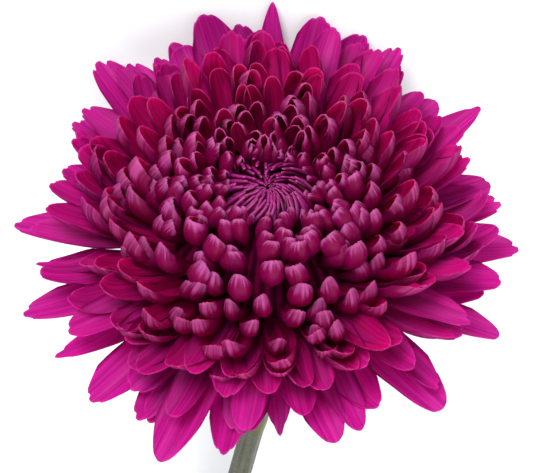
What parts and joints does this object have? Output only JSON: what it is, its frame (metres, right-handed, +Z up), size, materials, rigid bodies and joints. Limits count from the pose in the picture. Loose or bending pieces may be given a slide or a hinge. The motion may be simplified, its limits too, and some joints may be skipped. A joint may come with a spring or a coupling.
{
  "type": "cremon chrysanthemum cut flower",
  "caption": "Cut chrysanthemum lying on a surface: a large full magenta bloom of incurved florets, a green cup of bracts and a ribbed stem",
  "frame": {"origin": "on the surface that the flower lies on, under the middle of its bounding box", "axes": "+Z up from the surface, +Y from the stem's cut end towards the bloom, which faces +Y and a little upward"},
  "size_m": [0.1238, 0.2118, 0.0963],
  "materials": {
    "florets": "satin, softly veined petal",
    "bracts": "matt green with papery margins",
    "stem": "matt, ribbed grey-green"
  },
  "bodies": {
    "root": {"bloom": "florets", "involucre": "bracts", "stem": "stem"}
  },
  "joints": []
}
